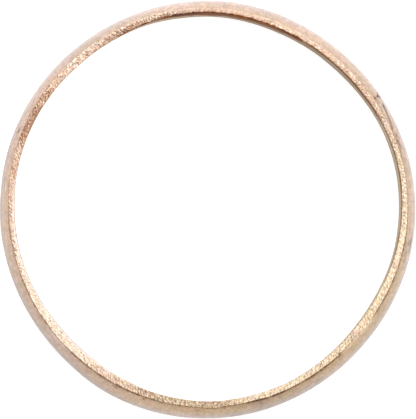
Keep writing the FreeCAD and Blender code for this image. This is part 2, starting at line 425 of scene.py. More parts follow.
# and is painted darkest where it reaches the rim
on_rim = (kind == "front_rim")[None, :] * (across_rim < 0.3)
att["a_deep"] = (inner_side * (1 - smooth(depth, 0.10, 0.80)) + on_rim) * stretch(wander, 60.0, 119.0, 9.0)
att["a_darkest_brown"] = ((inner_side * (1 - smooth(depth + 0.25 * uneven, 0.60, 1.70)) + on_rim)
                  * (0.50 * stretch(D0, 61.5, 69.0, 3.0) + 0.45 * stretch(D0, 82.0, 89.5, 3.0)
                     + 0.80 * stretch(D0, 92.0, 101.0, 3.0) + 0.45 * stretch(D0, 105.6, 107.8, 1.6)))
foot = (-0.05 - 0.25 * stretch(deg, 84.0, 124.0, 12.0))[:, None]
bite = (0.006 + 0.010 * stretch(deg, 36.0, 60.0, 8.0)[:, None] + 0.024 * wide_bevel[:, None] + 0.095 * broken) * np.clip(1.0 + 0.5 * jag(deg, 0.7), 0, 3)[:, None]
over = np.clip(1.0 - (R0 - (Rb + bevel_w)[:, None]) / np.maximum(bite, 0.004), 0, 1) * np.isin(kind, ("front_rim",))[None, :]
att["a_brown"] = np.clip(inner_side * np.clip(wide + 0.40 * (thin * stretch(deg, 30, 60, 10))[:, None] * (1 - smooth(depth, 0.10, 0.75)), 0, 1)
                         * smooth(Z0, foot - 0.70, foot + 0.50) + over * np.clip(0.8 * thin[:, None] + wide, 0, 1), 0, 1)
# painted shade along the bore's far edge, where it meets the floor
att["a_far_shade"] = m_bore * smooth(-Z0, 0.75, 1.30) * stretch(D0, -18.0, 98.0, 10.0)
# the bore is painted darker at the upper right, as painted shade, and lighter at the upper left, as painted light
painted_light_wall = smooth(apart(deg, 128.0), -29.0, -17.0) * (1 - smooth(apart(deg, 128.0), 22.0, 90.0))
att["a_shade"] = m_bore * (stretch(deg, 33.0, 84.0, 22.0)[:, None] - painted_light_wall[:, None] * (1 - 0.75 * smooth(depth, 0.10, 0.90)))
# and the rim's inner part is painted darker and redder: at the top as painted shade with the bore, and also from 150 to
# 160 degrees
inner_dark = stretch(deg, 22.0, 128.0, 14.0) * (0.50 + 0.30 * stretch(deg, 38, 54, 8) + 0.10 * stretch(deg, 54, 68, 6) + 1.15 * bump_at(deg, 80, 9) + 0.22 * stretch(deg, 100, 117, 8)) + 0.80 * stretch(deg, 150, 159.5, 4)
att["a_inner_dark"] = m_rim * inner_dark[:, None] * (1 - smooth(across_rim, 0.02, 0.62)) * np.clip(1.0 + 0.25 * lumps(D0 + 33, y), 0, 1.4)
# the copper shows where the gilding is rubbed off the rim
copper = (0.68 * stretch(deg, 143, 160, 7) + 0.40 * stretch(deg, 84, 122, 16) + 0.26 * stretch(deg, 160, 180, 12)
          + 0.18 * stretch(deg, 246, 276, 12))
att["a_copper"] = np.clip((copper[:, None] + 0.14 * lumps(D0 + 60, y) + 0.08 * drift(D0, y)), 0, 1) * np.clip(m_rim + m_back, 0, 1)
pale = 0.70 * stretch(deg, 184, 240, 16) + 0.35 * stretch(deg, 335, 372, 14) + 0.30 * stretch(deg, 205, 232, 8) + 0.30 * stretch(deg, 281, 312, 10)
# the edge of the bore is rubbed pale where it isn't brown
pale_edge = (1 - around)[:, None] * (1 - smooth(across_rim, 0.0, 0.10)) * (Z0 > 1.2)
pale_outer = (0.45 * stretch(deg, 348, 382, 10) + 0.65 * stretch(deg, 40, 72, 8) + 0.20 * stretch(deg, 72, 98, 8) + 0.60 * stretch(deg, 98, 128, 8) + 0.42 * stretch(deg, 128, 138, 6)
              + 0.30 * stretch(deg, 158, 174, 8))[:, None] * smooth(across_rim, 0.45, 0.85)
pale_inner = 0.28 * stretch(deg, 262, 308, 10)[:, None] * (1 - smooth(across_rim, 0.05, 0.42))
att["a_pale"] = np.clip((pale[:, None] + 0.8 * pale_edge + pale_outer + pale_inner) * m_rim, 0, 1)
# the inner edge at the lower left is painted pale and less metallic: painted light on an edge that turns away from the
# lamps
pale_highlight_wide = 0.16 + (0.30 * stretch(deg, 172, 200, 8) + 0.16 * stretch(deg, 203, 232, 8))[:, None]
att["a_pale_highlight"] = soft_in[:, None] * np.clip(0.85 * np.isin(kind, ("front_bevel",))[None, :]
                                            + 0.50 * (1 - smooth(across_rim, 0.0, pale_highlight_wide)) * np.isin(kind, ("front_rim",))[None, :], 0, 1)
# and painted highlights on the raised grain of the torn metal beside the joint, and two bright flakes at the upper left
# painted as glints
att["a_pale_highlight"] = (att["a_pale_highlight"] + 0.45 * stretch(deg, 23.4, 26.6, 1.0)[:, None] * m_rim * smooth(g, -0.2, 0.8) * smooth(across_rim, 0.10, 0.35)
                  + (0.60 * spot(129.7, 10.087, 0.75, 0.020) + 0.45 * spot(135.2, 10.06, 0.22, 0.050)) * m_rim)
# the pink of the top and left against the yellow of the bottom and right
yellow = (0.10 + 0.85 * stretch(deg, 248, 350, 34) + 0.25 * bump_at(deg, 272, 10) + 0.35 * stretch(deg, 340, 402, 30))
att["a_yellow"] = np.clip(yellow[:, None] + 0.40 * stretch(deg, 345, 382, 12)[:, None] * m_rim + 0.10 * drift(D0 + 200, V0[:, :-1]), 0, 1.2)
# painted light: the dome is painted lighter towards the top and darker towards the bottom, as the light falls from
# above, with local changes round the ring
level = (0.825 + 0.14 * np.cos(np.radians(deg - 80.0)) - 0.12 * bump_at(deg, 18, 12) - 0.02 * bump_at(deg, 42, 12) + 0.055 * bump_at(deg, 358, 9)
         + 0.025 * bump_at(deg, 84, 9) + 0.030 * bump_at(deg, 241, 6) + 0.025 * bump_at(deg, 150, 7) + 0.015 * bump_at(deg, 345, 6)
         - 0.060 * stretch(deg, 108, 178, 30) - 0.06 * bump_at(deg, 226, 9) - 0.09 * stretch(deg, 280, 305, 14) - 0.04 * bump_at(deg, 336, 9))
# the dome's crest is painted greyer and paler: a painted sheen along the outline, dimmer at the lower left
crest_edge = 1.20 - 0.22 * stretch(deg, 162, 256, 20) + 0.20 * stretch(deg, 335, 500, 24) + 0.22 * stretch(deg, 64, 160, 20)
crest_dark = 1.0 - 0.34 * stretch(deg, 178, 262, 24)
att["a_crest_sheen"] = (1 - smooth(np.abs(Z0), 0.40, crest_edge[:, None])) * m_dome * crest_dark[:, None]
tone = level[:, None] * (1 + 0.025 * drift(D0 + 20, V0[:, :-1]))
# the crest's painted sheen is darker at the lower left and lighter round the right and top
tone = tone * (1 - 0.34 * att["a_crest_sheen"] * stretch(deg, 156, 254, 20)[:, None] + 0.05 * att["a_crest_sheen"] * stretch(deg, 290, 350, 20)[:, None]
               + 0.13 * att["a_crest_sheen"] * stretch(deg, 0, 62, 16)[:, None] + 0.06 * att["a_crest_sheen"] * stretch(deg, 62, 130, 16)[:, None])
# the dome is made a little lighter just below the rim at the left, and the worn edge rows are painted lighter: painted
# light over the rounded edge's own shade
edge_rows = np.isin(kind, ("front_edge",))[None, :]
tone = tone * (1 + 0.06 * m_dome * smooth(Z0, 1.30, 1.42) * stretch(deg, 146, 262, 16)[:, None]
               + 0.25 * edge_rows * worn[:, None])
att["a_painted_light"] = np.clip(tone, 0.3, 1.2)
# the dome just outside the step at the bottom is painted browner and darker: painted shade beside the step
att["a_step_shade"] = m_dome * smooth(Z0, 0.95, 1.40) * (stretch(deg, 250, 316, 14) + 0.5 * stretch(deg, 222, 252, 10))[:, None]
# the filed rim: how bright, which way its marks lean, how torn and how rough it is
face = (0.90 - 0.050 * bump_at(deg, 1, 6) - 0.025 * bump_at(deg, 60, 5) - 0.030 * stretch(deg, 6, 36, 10) + 0.065 * stretch(deg, 54, 82, 10) + 0.050 * bump_at(deg, 74, 7)
        - 0.040 * bump_at(deg, 92, 6) - 0.060 * bump_at(deg, 106, 8) + 0.010 * bump_at(deg, 130, 8) - 0.040 * stretch(deg, 142, 150, 8) - 0.165 * stretch(deg, 149, 159, 5)
        - 0.055 * stretch(deg, 158, 173, 8) + 0.030 * bump_at(deg, 195, 8) - 0.055 * bump_at(deg, 224, 8) - 0.105 * stretch(deg, 233, 278, 12)
        - 0.045 * bump_at(deg, 269, 6) - 0.022 * stretch(deg, 264, 304, 10) - 0.050 * stretch(deg, 294, 322, 10) - 0.010 * bump_at(deg, 315, 6)
        + 0.018 * bump_at(deg, 345, 7))
inner_dim = (0.12 * stretch(deg, 138, 162, 8) + 0.08 * stretch(deg, 248, 275, 8) + 0.03 * stretch(deg, 8, 32, 10) + 0.08 * stretch(deg, 84, 122, 8)
             + 0.05 * stretch(deg, 38, 54, 6) - 0.14 * stretch(deg, 174, 194, 8) + 0.07 * stretch(deg, 337, 353, 8)
             + 0.05 * bump_at(deg, 153, 4) - 0.06 * bump_at(deg, 165, 5))
outer_gain = (0.05 * bump_at(deg, 358, 9) + 0.08 * stretch(deg, 98, 122, 8) + 0.03 * stretch(deg, 116, 154, 8) + 0.045 * bump_at(deg, 180, 6)
              + 0.055 * bump_at(deg, 255, 6) + 0.03 * bump_at(deg, 56, 8) - 0.035 * bump_at(deg, 298, 8) - 0.025 * bump_at(deg, 272, 5))
# the rim's worn edge rows are painted lighter too: painted light over the rounded edge's own shade
att["a_face"] = (face[:, None] * (1 - inner_dim[:, None] * (1 - smooth(across_rim, 0.0, 0.65)))
                 * (1 + outer_gain[:, None] * smooth(across_rim, 0.55, 0.95) + 0.35 * edge_rows * worn[:, None]))
att["a_lean"] = lean * np.ones_like(R0)
torn = 0.25 + 0.40 * stretch(deg, 22, 58, 6) + 0.45 * stretch(deg, 97, 115, 8) + 0.40 * stretch(deg, 139, 161, 6) + 0.50 * stretch(deg, 260, 314, 10)
rough = (0.62 + 0.14 * stretch(deg, 2, 18, 6) + 0.55 * stretch(deg, 22.6, 27.6, 1.5) + 0.14 * stretch(deg, 30, 58, 6) + 0.12 * stretch(deg, 58, 96, 8) + 0.14 * stretch(deg, 82, 98, 6)
         + 0.90 * stretch(deg, 98, 118, 6) + 0.24 * stretch(deg, 118, 136, 6) + 0.36 * stretch(deg, 142, 166, 8) - 0.04 * stretch(deg, 178, 202, 6)
         - 0.12 * stretch(deg, 204, 232, 8) + 0.14 * stretch(deg, 238, 252, 6) + 0.12 * stretch(deg, 252, 277, 8) - 0.12 * stretch(deg, 277, 304, 8)
         - 0.10 * stretch(deg, 322, 342, 8) - 0.08 * stretch(deg, 342, 364, 8))
att["a_torn"] = torn[:, None] * np.ones_like(R0)
att["a_rough"] = rough[:, None] * calm * np.clip(m_rim + m_back, 0, 1)
# cool, dull areas
cool = (0.50 * spot(222.6, 10.52, 6.0, 0.12) + 0.45 * spot(300.5, 10.48, 3.5, 0.09) + 0.40 * spot(346.5, 10.41, 3.0, 0.045)
        + 0.40 * spot(130.0, 10.36, 5.0, 0.04) + 0.25 * spot(285.5, 10.60, 3.0, 0.12) + 0.50 * spot(301.8, 10.48, 1.6, 0.05)
        + 0.60 * spot(285.4, 10.46, 2.2, 0.12) + 0.50 * spot(284.68, 10.493, 0.5, 0.03) + 0.50 * spot(286.5, 10.50, 0.7, 0.03))
att["a_cool"] = np.clip(cool * shown, 0, 1)
umber = (0.80 * spot(18.2, 10.368, 0.70, 0.034) + 1.00 * spot(19.2, 10.32, 0.28, 0.026) + 0.65 * spot(16.4, 10.325, 0.55, 0.024)
         + 0.95 * spot(20.6, 10.385, 0.28, 0.028) + 0.80 * spot(21.2, 10.405, 0.22, 0.028) + 0.85 * spot(14.45, 10.280, 0.55, 0.020)
         + 0.40 * spot(19.9, 10.31, 0.9, 0.05)
         + 0.60 * spot(23.0, 10.302, 0.45, 0.026) + 0.50 * spot(22.3, 10.285, 0.25, 0.024)
         + 1.40 * notch_low + 0.35 * web + 1.80 * pit + 0.34 * spot(285.2, 10.45, 1.35, 0.12) + 0.55 * patch_core
         + 0.70 * spot(267.61, 10.660, 0.45, 0.022) + 0.80 * spot(267.26, 10.50, 0.45, 0.026)
         + 1.20 * spot(243.16, 10.436, 0.34, 0.026) + 0.75 * spot(242.2, 10.42, 0.24, 0.022) + 1.40 * spot(251.51, 10.430, 0.24, 0.032)
         + 0.25 * spot(103.84, 10.293, 1.0, 0.014) + 0.25 * spot(102.2, 10.345, 0.35, 0.02)
         + 0.20 * spot(46.9, 10.205, 1.3, 0.02) + 0.30 * spot(174.5, 10.39, 1.0, 0.018)
         + 0.38 * seam_shadow + 0.75 * spot(344.8, 10.490, 0.8, 0.024) + 0.65 * spot(347.2, 10.455, 0.6, 0.024) + 0.70 * spot(350.5, 10.285, 0.8, 0.020)
         + 0.65 * spot(347.7, 10.612, 0.45, 0.020) + 0.60 * spot(352.2, 10.607, 0.6, 0.018))
att["a_umber"] = np.clip(umber * shown + 0.80 * spot(191.7, 10.205, 0.30, 0.024) * m_rim + 0.55 * spot(188.5, 10.0, 0.26, 0.02) * m_rim
                         + 0.45 * spot(275.5, 9.99, 0.6, 0.012) * m_rim
                         + (1.10 * spot(311.75, 10.150, 0.30, 0.048) + 0.80 * spot(311.5, 10.235, 0.40, 0.030)
                            + 0.26 * spot(313.6, 10.205, 0.90, 0.024) + 0.35 * spot(317.2, 10.200, 0.22, 0.018)) * np.clip(m_rim + m_dome, 0, 1), 0, 1)
soot = (0.88 * notch + 0.16 * web + 0.12 * notch_low + 0.90 * spot(29.85, 10.425, 0.26, 0.022) + 0.90 * spot(350.1, 10.618, 0.9, 0.020)
        + 0.60 * spot(349.8, 10.522, 0.5, 0.020) + 0.80 * spot(338.0, 10.25, 0.22, 0.026) + 0.80 * spot(284.62, 10.300, 0.60, 0.020)
        + 0.45 * spot(290.8, 10.30, 1.1, 0.022))
dark_line = (0.22 * stretch(deg, 281.2, 283.8, 1.0) + 0.45 * stretch(deg, 284.1, 285.5, 0.8) + 0.24 * stretch(deg, 286.6, 288.4, 1.0)
             + 0.50 * stretch(deg, 289.4, 292.6, 1.2) + 0.22 * stretch(deg, 227.2, 229.4, 1.2))
att["a_soot"] = np.clip(soot * np.clip(shown + 0.6 * m_rim, 0, 1) + 0.95 * tick * on_dome + dark_line[:, None] * m_line, 0, 1)
att["a_joint"] = np.clip(seam_shown * shown, 0, 1)       # on the band it also fades away from the film, below
att["a_orange"] = spot(52.3, 9.945, 0.50, 0.028) * m_rim
att["a_glint"] = (0.6 * spot(174.6, 10.425, 0.9, 0.014) + 0.4 * spot(158.0, 10.545, 0.35, 0.014) + 0.10 * lip + 0.40 * spot(221.8, 10.330, 2.4, 0.014)) * shown
names = list(att)
A0 = np.stack([np.broadcast_to(att[n], R0.shape) for n in names], -1)

# ---------------------------------------------------------------------------
# Vertices, faces, and the cut along the joint
# ---------------------------------------------------------------------------
X, Y = RR * cosd, RR * sind
verts = list(np.stack([X, Y, ZZ], -1).reshape(-1, 3))
extra = np.concatenate([A0, D0[..., None], V0[:, :-1, None], dist[..., None], along[..., None]], -1)
datas = list(extra.reshape(-1, extra.shape[-1]))
I_DEG, I_V, I_DIST, I_ALONG = len(names), len(names) + 1, len(names) + 2, len(names) + 3
SECTION_LENGTH = V0[:, -1].copy()


def vid(i, j):
    return (i % COLUMNS) * ROWS + (j % ROWS)


quads, tris = [], []
for i in range(COLUMNS):
    if C0 <= i < C1:
        for j in range(ROWS):
            a, b, c, d = vid(i, j), vid(i, j + 1), vid(i + 1, j + 1), vid(i + 1, j)
            tris.append((a, b, c))
            tris.append((a, c, d))
ii = np.array([i for i in range(COLUMNS) if not C0 <= i < C1])[:, None]
jj = np.arange(ROWS)[None, :]
a = (ii * ROWS + jj)
b = (ii * ROWS + (jj + 1) % ROWS)
c = (((ii + 1) % COLUMNS) * ROWS + (jj + 1) % ROWS)
d = (((ii + 1) % COLUMNS) * ROWS + jj)
quads = np.stack([a, b, c, d], -1).reshape(-1, 4)

WRAP = SECTION_LENGTH.mean()


def cut(faces, level):
    """Cuts triangles where the joint's distance equals level. Returns those below it and those above."""
    below, above, made = [], [], {}
    # a point very close to the cut is taken to lie on it
    def sign(v):
        s = datas[v][I_DIST] - level
        return 0 if abs(s) < 8e-4 else (1 if s > 0 else -1)

    def between(p, q):
        key = (min(p, q), max(p, q))
        if key not in made:
            fa, fb = datas[key[0]][I_DIST] - level, datas[key[1]][I_DIST] - level
            t = fa / (fa - fb)
            verts.append(verts[key[0]] * (1 - t) + verts[key[1]] * t)
            da, db = datas[key[0]].copy(), datas[key[1]].copy()
            if abs(da[I_V] - db[I_V]) > WRAP / 2:       # the edge that closes the section
                if da[I_V] < db[I_V]:
                    da[I_V] += WRAP
                else:
                    db[I_V] += WRAP
            new = da * (1 - t) + db * t
            new[I_DIST] = level
            datas.append(new)
            made[key] = len(verts) - 1
        return made[key]

    for tri in faces:
        s = [sign(v) for v in tri]
        if min(s) >= 0:
            above.append(tri)
        elif max(s) <= 0:
            below.append(tri)
        elif 0 in s:
            k = s.index(0)
            p, q, r = tri[k], tri[(k + 1) % 3], tri[(k + 2) % 3]
            m = between(q, r)
            first, second = (p, q, m), (p, m, r)
            (above if s[(k + 1) % 3] > 0 else below).append(first)
            (above if s[(k + 2) % 3] > 0 else below).append(second)
        else:
            lone = s.index(-1) if s.count(-1) == 1 else s.index(1)
            p, q, r = tri[lone], tri[(lone + 1) % 3], tri[(lone + 2) % 3]
            m1, m2 = between(p, q), between(r, p)
            (above if s[lone] > 0 else below).append((p, m1, m2))
            (below if s[lone] > 0 else above).extend([(m1, q, r), (m1, r, m2)])
    return below, above


half_t = SEAM_THICKNESS / 2.0
end_a, rest = cut(tris, -half_t)
film, end_b = cut(rest, half_t)


def rings(faces):
    """The closed loops that bound a set of faces, as directed vertex lists."""
    count = {}
    for f in faces:
        for p, q in zip(f, f[1:] + f[:1]):
            count[(p, q)] = 1
    nxt = {p: q for (p, q) in count if (q, p) not in count}
    loops = []
    while nxt:
        start, q = next(iter(nxt.items()))
        loop = [start]
        del nxt[start]
        while q != start:
            loop.append(q)
            q = nxt.pop(q)
        loops.append(loop)
    return loops


def cap(loop, level):
    """Fills one end of a piece along the joint's surface. The loop is directed as its piece's skin has it, so the cap runs the other way."""
    p = np.array([verts[v] for v in loop])
    _, s = to_seam(p[:, 0], p[:, 1])
    flat = [Vector((float(a_), float(b_))) for a_, b_ in zip(s, p[:, 2])]
    n = len(loop)
    inner, ids = [], []
    lo, hi = s.min(), s.max()
    for sa in np.linspace(lo, hi, 26)[1:-1]:
        for za in np.linspace(-HALF, HALF, 12)[1:-1]:
            # keep points well inside the outline
            crossings = 0
            close = 9.0
            for k in range(n):
                (x0, y0), (x1, y1) = flat[k], flat[(k + 1) % n]
                if (y0 > za) != (y1 > za) and sa < x0 + (za - y0) / (y1 - y0) * (x1 - x0):
                    crossings += 1
                close = min(close, math.hypot(sa - x0, za - y0))
            if crossings % 2 and close > 0.05:
                inner.append(Vector((float(sa), float(za))))
    edges = [(k, (k + 1) % n) for k in range(n)]
    out_v, _, out_f, orig_v, _, _ = delaunay_2d_cdt(flat + inner, edges, [], 1, 1e-9)
    ring_ids = {}
    where = []
    for k, o in enumerate(orig_v):
        first = min(o) if o else None
        if first is not None and first < n:
            where.append(loop[first])
        else:
            sa, za = out_v[k]
            i = int(np.clip(np.searchsorted(seam_at, sa) - 1, 0, len(seam_unit) - 1))
            t = sa - seam_at[i]
            base = seam[i] + seam_unit[i] * t
            u = seam_unit[i]
            verts.append(np.array([base[0] - u[1] * level, base[1] + u[0] * level, za]))
            new = datas[loop[0]].copy()
            new[:I_DEG] = 0.0
            new[names.index("a_bore")] = 0.5
            datas.append(new)
            where.append(len(verts) - 1)
    faces = [tuple(where[k] for k in f) for f in out_f]
    have = set()
    for f in faces:
        for p_, q_ in zip(f, f[1:] + f[:1]):
            have.add((p_, q_))
    forward = sum((loop[k], loop[(k + 1) % n]) in have for k in range(n))
    if forward > n / 2:
        faces = [tuple(reversed(f)) for f in faces]
    return faces


film_loops = rings(film)
film_caps = []
for loop in film_loops:
    level = half_t if datas[loop[0]][I_DIST] > 0 else -half_t
    film_caps.append((loop, level, cap(loop, level)))


def uv_of(deg_, v_, strip, part_strips=3):
    """The bake's map: the skin unrolled in strips of 120 degrees, one above the other."""
    pitch = 1.0 / part_strips
    u = (deg_ - strip * (360.0 / part_strips)) / (360.0 / part_strips)
    return 0.004 + 0.992 * u, (strip + 0.02 + 0.96 * np.clip(v_ / (WRAP * 1.012), 0, 1)) * pitch


def make_piece(name, quads_, tris_, cap_faces, fade):
    used = set()
    polys = [tuple(int(x) for x in q) for q in quads_] + list(tris_)
    n_skin = len(polys)
    polys += cap_faces
    flat = np.fromiter((v for f in polys for v in f), dtype=np.int64)
    uniq, inverse = np.unique(flat, return_inverse=True)
    co = np.array([verts[v] for v in uniq]) * MM
    dt = np.array([datas[v] for v in uniq])
    if fade:
        dt[:, names.index("a_joint")] *= 0.95 * np.exp(-0.5 * (dt[:, I_DIST] / 0.030) ** 2)
    me = bpy.data.meshes.new(name)
    sizes = np.array([len(f) for f in polys])
    starts = np.concatenate([[0], np.cumsum(sizes)[:-1]])
    me.vertices.add(len(uniq))
    me.vertices.foreach_set("co", co.astype(np.float32).ravel())
    me.loops.add(len(flat))
    me.loops.foreach_set("vertex_index", inverse.astype(np.int32))
    me.polygons.add(len(polys))
    me.polygons.foreach_set("loop_start", starts.astype(np.int32))
    me.update(calc_edges=True)
    me.validate()
    for k, n_ in enumerate(names):
        layer = me.attributes.new(n_, "FLOAT", "POINT")
        layer.data.foreach_set("value", dt[:, k].astype(np.float32))
    # sharp edges where the skin meets the joint's faces
    is_cap_loop = np.repeat(np.arange(len(polys)) >= n_skin, sizes)
    edge_of_loop = np.empty(len(flat), np.int32)
    me.loops.foreach_get("edge_index", edge_of_loop)
    n_edges = len(me.edges)
    on_cap = np.zeros(n_edges, bool)
    on_skin = np.zeros(n_edges, bool)
    on_cap[edge_of_loop[is_cap_loop]] = True
    on_skin[edge_of_loop[~is_cap_loop]] = True
    sharp = me.attributes.new("sharp_edge", "BOOLEAN", "EDGE")
    sharp.data.foreach_set("value", on_cap & on_skin)
    # the map: by face, so that each strip and the closing edge stay whole
    uv = me.uv_layers.new(name="OFBake")
    deg_l, v_l = dt[inverse, I_DEG], dt[inverse, I_V]
    face_of_loop = np.repeat(np.arange(len(polys)), sizes)
    fdeg = np.zeros(len(polys)); fv = np.zeros(len(polys))
    dmin = np.full(len(polys), 1e9); dmax = np.full(len(polys), -1e9)
    np.minimum.at(dmin, face_of_loop, deg_l); np.maximum.at(dmax, face_of_loop, deg_l)
    wraps = (dmax - dmin) > 180
    deg_l = np.where(wraps[face_of_loop] & (deg_l < 180), deg_l + 360, deg_l)
    vmin = np.full(len(polys), 1e9); vmax = np.full(len(polys), -1e9)
    np.minimum.at(vmin, face_of_loop, v_l); np.maximum.at(vmax, face_of_loop, v_l)
    vw = (vmax - vmin) > WRAP / 2
    v_l = np.where(vw[face_of_loop] & (v_l < WRAP / 2), v_l + SECTION_LENGTH.mean(), v_l)
    np.add.at(fdeg, face_of_loop, deg_l); fdeg /= sizes
    strip = np.clip((fdeg / 120.0).astype(int), 0, 2)
    return me, dict(polys=polys, sizes=sizes, n_skin=n_skin, inverse=inverse, uv=uv, deg=deg_l, v=v_l,
                    strip=strip, face_of_loop=face_of_loop, dt=dt, co=co)


def clean(me):
    """The number of edges that don't join exactly two faces."""
    bm = bmesh.new()
    bm.from_mesh(me)
    bad = sum(1 for e in bm.edges if len(e.link_faces) != 2)
    volume = bm.calc_volume()
    bm.free()
    return bad, volume


band_caps, seam_caps = [], []
for loop, level, faces in film_caps:
    seam_caps += faces
    band_caps += [tuple(reversed(f)) for f in faces]

band_mesh, band_info = make_piece("ring_band_worn", quads, end_a + end_b, band_caps, True)
seam_mesh, seam_info = make_piece("solder_seam_film", [], film, seam_caps, False)


def fill_uv(me, info, whole):
    u = np.zeros(len(info["inverse"])); v = np.zeros(len(info["inverse"]))
    f = info["face_of_loop"]
    skin = f < info["n_skin"]
    if whole:
        su, sv = uv_of(info["deg"], info["v"], info["strip"][f])
        u[skin], v[skin] = su[skin], sv[skin]
    else:
        lo, hi = info["deg"][skin].min(), info["deg"][skin].max()
        u[skin] = 0.02 + 0.60 * (info["deg"][skin] - lo) / (hi - lo)
        v[skin] = 0.02 + 0.96 * np.clip(info["v"][skin] / (WRAP * 1.02), 0, 1)
    # the joint's faces: flat, in a corner of the map
    cap_l = ~skin
    if cap_l.any():
        xyz = info["co"][info["inverse"]] / MM
        _, s = to_seam(xyz[cap_l][:, 0], xyz[cap_l][:, 1])
        z = xyz[cap_l][:, 2]
        d_ = info["dt"][info["inverse"]][cap_l][:, I_DIST]
        both = f[cap_l]
        half_cap = both >= info["n_skin"] + (both.max() - info["n_skin"] + 1) // 2
        sn = (s - s.min()) / (s.max() - s.min())
        zn = (z + HALF) / (2 * HALF)
        if whole:
            u[cap_l] = 0.9975 + 0.002 * sn
            v[cap_l] = np.where(half_cap, 0.5, 0.1) + 0.02 * zn
        else:
            u[cap_l] = 0.66 + 0.32 * sn
            v[cap_l] = np.where(half_cap, 0.52, 0.02) + 0.44 * zn
    uv = np.stack([u, v], -1).astype(np.float32)
    info["uv"].data.foreach_set("uv", uv.ravel())


fill_uv(band_mesh, band_info, True)
fill_uv(seam_mesh, seam_info, False)
for me in (band_mesh, seam_mesh):
    print(me.name, "points", len(me.vertices), "faces", len(me.polygons), "bad edges, volume", clean(me))


# ---------------------------------------------------------------------------
# Materials
# ---------------------------------------------------------------------------
class Graph:
    def __init__(self, name):
        self.m = bpy.data.materials.new(name)
        self.m.use_nodes = True
        self.n = self.m.node_tree.nodes
        self.l = self.m.node_tree.links
        self.n.clear()

    def put(self, socket, value):
        if isinstance(value, bpy.types.NodeSocket):
            self.l.new(value, socket)
        else:
            socket.default_value = value

    def attr(self, name):
        n = self.n.new("ShaderNodeAttribute")
        n.attribute_type = "GEOMETRY"
        n.attribute_name = name
        return n.outputs["Fac"]

    def math(self, op, a, b=0.0, clamp=False):
        n = self.n.new("ShaderNodeMath")
        n.operation = op
        n.use_clamp = clamp
        self.put(n.inputs[0], a)
        self.put(n.inputs[1], b)
        return n.outputs[0]

    def mix(self, fac, a, b, mode="MIX"):
        n = self.n.new("ShaderNodeMix")
        n.data_type = "RGBA"
        n.blend_type = mode
        n.clamp_factor = True
        self.put(n.inputs[0], fac)
        self.put(n.inputs[6], a if isinstance(a, bpy.types.NodeSocket) else (*a, 1.0))
        self.put(n.inputs[7], b if isinstance(b, bpy.types.NodeSocket) else (*b, 1.0))
        return n.outputs[2]

    def ramp(self, value, lo, hi, out_lo=0.0, out_hi=1.0):
        n = self.n.new("ShaderNodeMapRange")
        n.interpolation_type = "SMOOTHSTEP"
        self.put(n.inputs[0], value)
        n.inputs[1].default_value = lo
        n.inputs[2].default_value = hi
        n.inputs[3].default_value = out_lo
        n.inputs[4].default_value = out_hi
        return n.outputs[0]

    def place(self, scale):
        """Object coordinates in millimetres, stretched."""
        if not hasattr(self, "coord"):
            self.coord = self.n.new("ShaderNodeTexCoord").outputs["Object"]
        n = self.n.new("ShaderNodeMapping")
        n.vector_type = "POINT"
        self.l.new(self.coord, n.inputs["Vector"])
        n.inputs["Scale"].default_value = [s * 1000.0 for s in scale]
        return n.outputs[0]

    def noise(self, scale, detail=3.0, rough=0.55, distort=0.0):
        n = self.n.new("ShaderNodeTexNoise")
        n.noise_dimensions = "3D"
        self.l.new(self.place(scale), n.inputs["Vector"])
        n.inputs["Scale"].default_value = 1.0
        n.inputs["Detail"].default_value = detail
        n.inputs["Roughness"].default_value = rough
        n.inputs["Distortion"].default_value = distort
        return n.outputs["Fac"]

    def unrolled(self):
        """Position on the flat rim in millimetres: distance round the ring and radius. The start lies at the joint."""
        turn = self.n.new("ShaderNodeMapping")
        turn.vector_type = "POINT"
        self.l.new(self.coord, turn.inputs["Vector"])
        turn.inputs["Rotation"].default_value = (0.0, 0.0, -math.radians(32.95 + 180.0))
        turn.inputs["Scale"].default_value = (1000.0, 1000.0, 1000.0)
        xyz = self.n.new("ShaderNodeSeparateXYZ")
        self.l.new(turn.outputs[0], xyz.inputs[0])
        x, y_ = xyz.outputs[0], xyz.outputs[1]
        round_ = self.math("MULTIPLY", self.math("ARCTAN2", y_, x), 10.1)
        radius = self.math("SQRT", self.math("ADD", self.math("MULTIPLY", x, x), self.math("MULTIPLY", y_, y_)))
        both = self.n.new("ShaderNodeCombineXYZ")
        self.l.new(round_, both.inputs[0])
        self.l.new(radius, both.inputs[1])
        return both.outputs[0]

    def streaks(self, plane, slant, along, across, detail=1.5):
        """Noise drawn out along a direction of the unrolled rim; along and across are its grains per millimetre."""
        turn = self.n.new("ShaderNodeMapping")
        turn.vector_type = "POINT"
        self.l.new(plane, turn.inputs["Vector"])
        turn.inputs["Rotation"].default_value = (0.0, 0.0, -math.radians(slant))
        size = self.n.new("ShaderNodeMapping")
        size.vector_type = "POINT"
        self.l.new(turn.outputs[0], size.inputs["Vector"])
        size.inputs["Scale"].default_value = (along, across, 1.0)
        n = self.n.new("ShaderNodeTexNoise")
        n.noise_dimensions = "2D"
        self.l.new(size.outputs[0], n.inputs["Vector"])
        n.inputs["Scale"].default_value = 1.0
        n.inputs["Detail"].default_value = detail
        n.inputs["Roughness"].default_value = 0.5
        return n.outputs["Fac"]

    def around_one(self, value, share):
        """A factor about 1, from a noise about 0.5."""
        return self.math("ADD", 1.0 - 0.5 * share, self.math("MULTIPLY", value, share))


PINK = (0.600, 0.430, 0.342)
TAN = (0.585, 0.430, 0.276)
CREST_SHEEN = (0.556, 0.492, 0.500)
GOLD = (0.606, 0.463, 0.304)
PEACH = (0.645, 0.440, 0.330)
CREAM = (0.785, 0.630, 0.495)
COPPER = (0.410, 0.182, 0.098)
BROWN = (0.215, 0.058, 0.005)
OLIVE = (0.186, 0.086, 0.024)
WALL = (0.470, 0.380, 0.280)
LINE = (0.215, 0.080, 0.016)
UMBER = (0.185, 0.090, 0.045)
SOOT = (0.040, 0.040, 0.052)
JOINT = (0.095, 0.046, 0.008)


